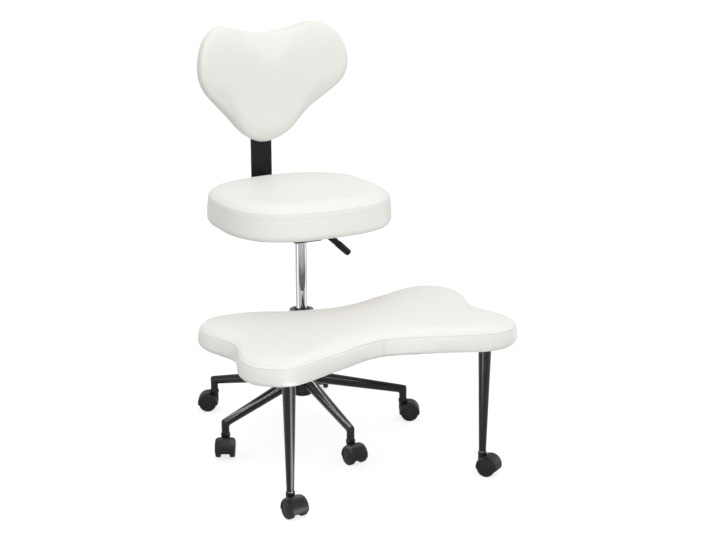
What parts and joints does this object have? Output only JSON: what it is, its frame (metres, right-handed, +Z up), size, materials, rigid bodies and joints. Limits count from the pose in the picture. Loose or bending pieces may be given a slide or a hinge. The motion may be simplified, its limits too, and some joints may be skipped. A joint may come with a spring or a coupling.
{
  "type": "cross-legged office chair",
  "caption": "Gas-lift office chair with a rounded seat, heart-shaped back, star base on casters and a wide bone-shaped footrest that swings round the column on its own legs.",
  "frame": {"origin": "on the floor, at the centre of the chair's footprint", "axes": "+Z up, the sitter faces -Y, +X is the sitter's left"},
  "size_m": [0.6804, 0.767, 0.9901],
  "materials": {
    "white_leatherette": "matt grained leatherette",
    "black_powder_coat": "satin powder coat",
    "chrome": "polished",
    "black_nylon": "satin moulded nylon",
    "plywood": "bare plywood",
    "bright_steel": "turned"
  },
  "bodies": {
    "base": {"base_hub": "black_powder_coat", "base_arm_1": "black_powder_coat", "base_arm_2": "black_powder_coat", "base_arm_3": "black_powder_coat", "base_arm_4": "black_powder_coat", "base_arm_5": "black_powder_coat", "outer_tube": "black_powder_coat", "guide_bush": "black_nylon", "thrust_bearing": "bright_steel", "base_caster_1_stem": "bright_steel", "base_caster_2_stem": "bright_steel", "base_caster_3_stem": "bright_steel", "base_caster_4_stem": "bright_steel", "base_caster_5_stem": "bright_steel"},
    "swivel_rod": {"piston_rod": "bright_steel"},
    "seat": {"gas_cylinder": "chrome", "seat_mechanism": "black_powder_coat", "seat_board": "plywood", "seat_cushion": "white_leatherette", "back_bar": "black_powder_coat", "back_board": "plywood", "back_cushion": "white_leatherette"},
    "valve": {"valve_pin": "bright_steel"},
    "height_lever": {"lever": "black_powder_coat", "lever_grip": "black_nylon"},
    "footrest": {"footrest_bracket": "black_powder_coat", "footrest_board": "plywood", "footrest_cushion": "white_leatherette", "footrest_leg_left": "black_powder_coat", "footrest_leg_right": "black_powder_coat", "footrest_caster_left_stem": "bright_steel", "footrest_caster_right_stem": "bright_steel"},
    "base_caster_1": {"base_caster_1_hood": "black_nylon", "base_caster_1_axle": "bright_steel"},
    "base_caster_1_wheel_left": {"base_caster_1_wheel_left": "black_nylon"},
    "base_caster_1_wheel_right": {"base_caster_1_wheel_right": "black_nylon"},
    "base_caster_2": {"base_caster_2_hood": "black_nylon", "base_caster_2_axle": "bright_steel"},
    "base_caster_2_wheel_left": {"base_caster_2_wheel_left": "black_nylon"},
    "base_caster_2_wheel_right": {"base_caster_2_wheel_right": "black_nylon"},
    "base_caster_3": {"base_caster_3_hood": "black_nylon", "base_caster_3_axle": "bright_steel"},
    "base_caster_3_wheel_left": {"base_caster_3_wheel_left": "black_nylon"},
    "base_caster_3_wheel_right": {"base_caster_3_wheel_right": "black_nylon"},
    "base_caster_4": {"base_caster_4_hood": "black_nylon", "base_caster_4_axle": "bright_steel"},
    "base_caster_4_wheel_left": {"base_caster_4_wheel_left": "black_nylon"},
    "base_caster_4_wheel_right": {"base_caster_4_wheel_right": "black_nylon"},
    "base_caster_5": {"base_caster_5_hood": "black_nylon", "base_caster_5_axle": "bright_steel"},
    "base_caster_5_wheel_left": {"base_caster_5_wheel_left": "black_nylon"},
    "base_caster_5_wheel_right": {"base_caster_5_wheel_right": "black_nylon"},
    "footrest_caster_left": {"footrest_caster_left_hood": "black_nylon", "footrest_caster_left_axle": "bright_steel"},
    "footrest_caster_left_wheel_left": {"footrest_caster_left_wheel_left": "black_nylon"},
    "footrest_caster_left_wheel_right": {"footrest_caster_left_wheel_right": "black_nylon"},
    "footrest_caster_right": {"footrest_caster_right_hood": "black_nylon", "footrest_caster_right_axle": "bright_steel"},
    "footrest_caster_right_wheel_left": {"footrest_caster_right_wheel_left": "black_nylon"},
    "footrest_caster_right_wheel_right": {"footrest_caster_right_wheel_right": "black_nylon"}
  },
  "joints": [
    {"name": "seat_swivel", "type": "hinge", "parent": "base", "child": "swivel_rod", "pos_m": [0, 0.12418, 0.1], "axis": [0, 0, 1], "continuous": true},
    {"name": "seat_lift", "type": "slide", "parent": "swivel_rod", "child": "seat", "axis": [0, 0, 1], "range_m": [-0.1, 0]},
    {"name": "lever_lift", "type": "hinge", "parent": "seat", "child": "height_lever", "pos_m": [0.03, 0.12418, 0.5088], "axis": [0, -1, 0], "range_deg": [0, 6], "stiffness_Nm_per_rad": 2, "springref_deg": -2.86},
    {"name": "valve_press", "type": "slide", "parent": "seat", "child": "valve", "axis": [0, 0, 1], "range_m": [-0.0036, 0]},
    {"name": "footrest_swing", "type": "hinge", "parent": "base", "child": "footrest", "pos_m": [0, 0.12418, 0.28], "axis": [0, 0, 1], "continuous": true},
    {"name": "base_caster_1_swivel", "type": "hinge", "parent": "base", "child": "base_caster_1", "pos_m": [0.00449, -0.13278, 0.04], "axis": [0, 0, 1], "continuous": true},
    {"name": "base_caster_1_wheel_left_spin", "type": "hinge", "parent": "base_caster_1", "child": "base_caster_1_wheel_left", "pos_m": [0.00685, -0.14961, 0.022], "axis": [0.9903, 0.1392, 0], "continuous": true},
    {"name": "base_caster_1_wheel_right_spin", "type": "hinge", "parent": "base_caster_1", "child": "base_caster_1_wheel_right", "pos_m": [0.00685, -0.14961, 0.022], "axis": [0.9903, 0.1392, 0], "continuous": true},
    {"name": "base_caster_2_swivel", "type": "hinge", "parent": "base", "child": "base_caster_2", "pos_m": [0.24577, 0.04904, 0.04], "axis": [0, 0, 1], "continuous": true},
    {"name": "base_caster_2_wheel_left_spin", "type": "hinge", "parent": "base_caster_2", "child": "base_caster_2_wheel_left", "pos_m": [0.26092, 0.04133, 0.022], "axis": [0.454, 0.891, 0], "continuous": true},
    {"name": "base_caster_2_wheel_right_spin", "type": "hinge", "parent": "base_caster_2", "child": "base_caster_2_wheel_right", "pos_m": [0.26092, 0.04133, 0.022], "axis": [0.454, 0.891, 0], "continuous": true},
    {"name": "base_caster_3_swivel", "type": "hinge", "parent": "base", "child": "base_caster_3", "pos_m": [0.14741, 0.33471, 0.04], "axis": [0, 0, 1], "continuous": true},
    {"name": "base_caster_3_wheel_left_spin", "type": "hinge", "parent": "base_caster_3", "child": "base_caster_3_wheel_left", "pos_m": [0.15591, 0.34943, 0.022], "axis": [-0.866, 0.5, 0], "continuous": true},
    {"name": "base_caster_3_wheel_right_spin", "type": "hinge", "parent": "base_caster_3", "child": "base_caster_3_wheel_right", "pos_m": [0.15591, 0.34943, 0.022], "axis": [-0.866, 0.5, 0], "continuous": true},
    {"name": "base_caster_4_swivel", "type": "hinge", "parent": "base", "child": "base_caster_4", "pos_m": [-0.15467, 0.32943, 0.04], "axis": [0, 0, 1], "continuous": true},
    {"name": "base_caster_4_wheel_left_spin", "type": "hinge", "parent": "base_caster_4", "child": "base_caster_4_wheel_left", "pos_m": [-0.16981, 0.33715, 0.022], "axis": [-0.454, -0.891, 0], "continuous": true},
    {"name": "base_caster_4_wheel_right_spin", "type": "hinge", "parent": "base_caster_4", "child": "base_caster_4_wheel_right", "pos_m": [-0.16981, 0.33715, 0.022], "axis": [-0.454, -0.891, 0], "continuous": true},
    {"name": "base_caster_5_swivel", "type": "hinge", "parent": "base", "child": "base_caster_5", "pos_m": [-0.243, 0.04051, 0.04], "axis": [0, 0, 1], "continuous": true},
    {"name": "base_caster_5_wheel_left_spin", "type": "hinge", "parent": "base_caster_5", "child": "base_caster_5_wheel_left", "pos_m": [-0.25072, 0.02537, 0.022], "axis": [0.891, -0.454, 0], "continuous": true},
    {"name": "base_caster_5_wheel_right_spin", "type": "hinge", "parent": "base_caster_5", "child": "base_caster_5_wheel_right", "pos_m": [-0.25072, 0.02537, 0.022], "axis": [0.891, -0.454, 0], "continuous": true},
    {"name": "footrest_caster_left_swivel", "type": "hinge", "parent": "footrest", "child": "footrest_caster_left", "pos_m": [0.2455, -0.33482, 0.04], "axis": [0, 0, 1], "continuous": true},
    {"name": "footrest_caster_left_wheel_left_spin", "type": "hinge", "parent": "footrest_caster_left", "child": "footrest_caster_left_wheel_left", "pos_m": [0.25476, -0.34907, 0.022], "axis": [0.8387, 0.5446, 0], "continuous": true},
    {"name": "footrest_caster_left_wheel_right_spin", "type": "hinge", "parent": "footrest_caster_left", "child": "footrest_caster_left_wheel_right", "pos_m": [0.25476, -0.34907, 0.022], "axis": [0.8387, 0.5446, 0], "continuous": true},
    {"name": "footrest_caster_right_swivel", "type": "hinge", "parent": "footrest", "child": "footrest_caster_right", "pos_m": [-0.2455, -0.33482, 0.04], "axis": [0, 0, 1], "continuous": true},
    {"name": "footrest_caster_right_wheel_left_spin", "type": "hinge", "parent": "footrest_caster_right", "child": "footrest_caster_right_wheel_left", "pos_m": [-0.24313, -0.35165, 0.022], "axis": [0.9903, 0.1392, 0], "continuous": true},
    {"name": "footrest_caster_right_wheel_right_spin", "type": "hinge", "parent": "footrest_caster_right", "child": "footrest_caster_right_wheel_right", "pos_m": [-0.24313, -0.35165, 0.022], "axis": [0.9903, 0.1392, 0], "continuous": true}
  ],
  "couplings": [
    {"joint": "valve_press", "follows": "lever_lift", "m_per_rad": -0.032}
  ]
}
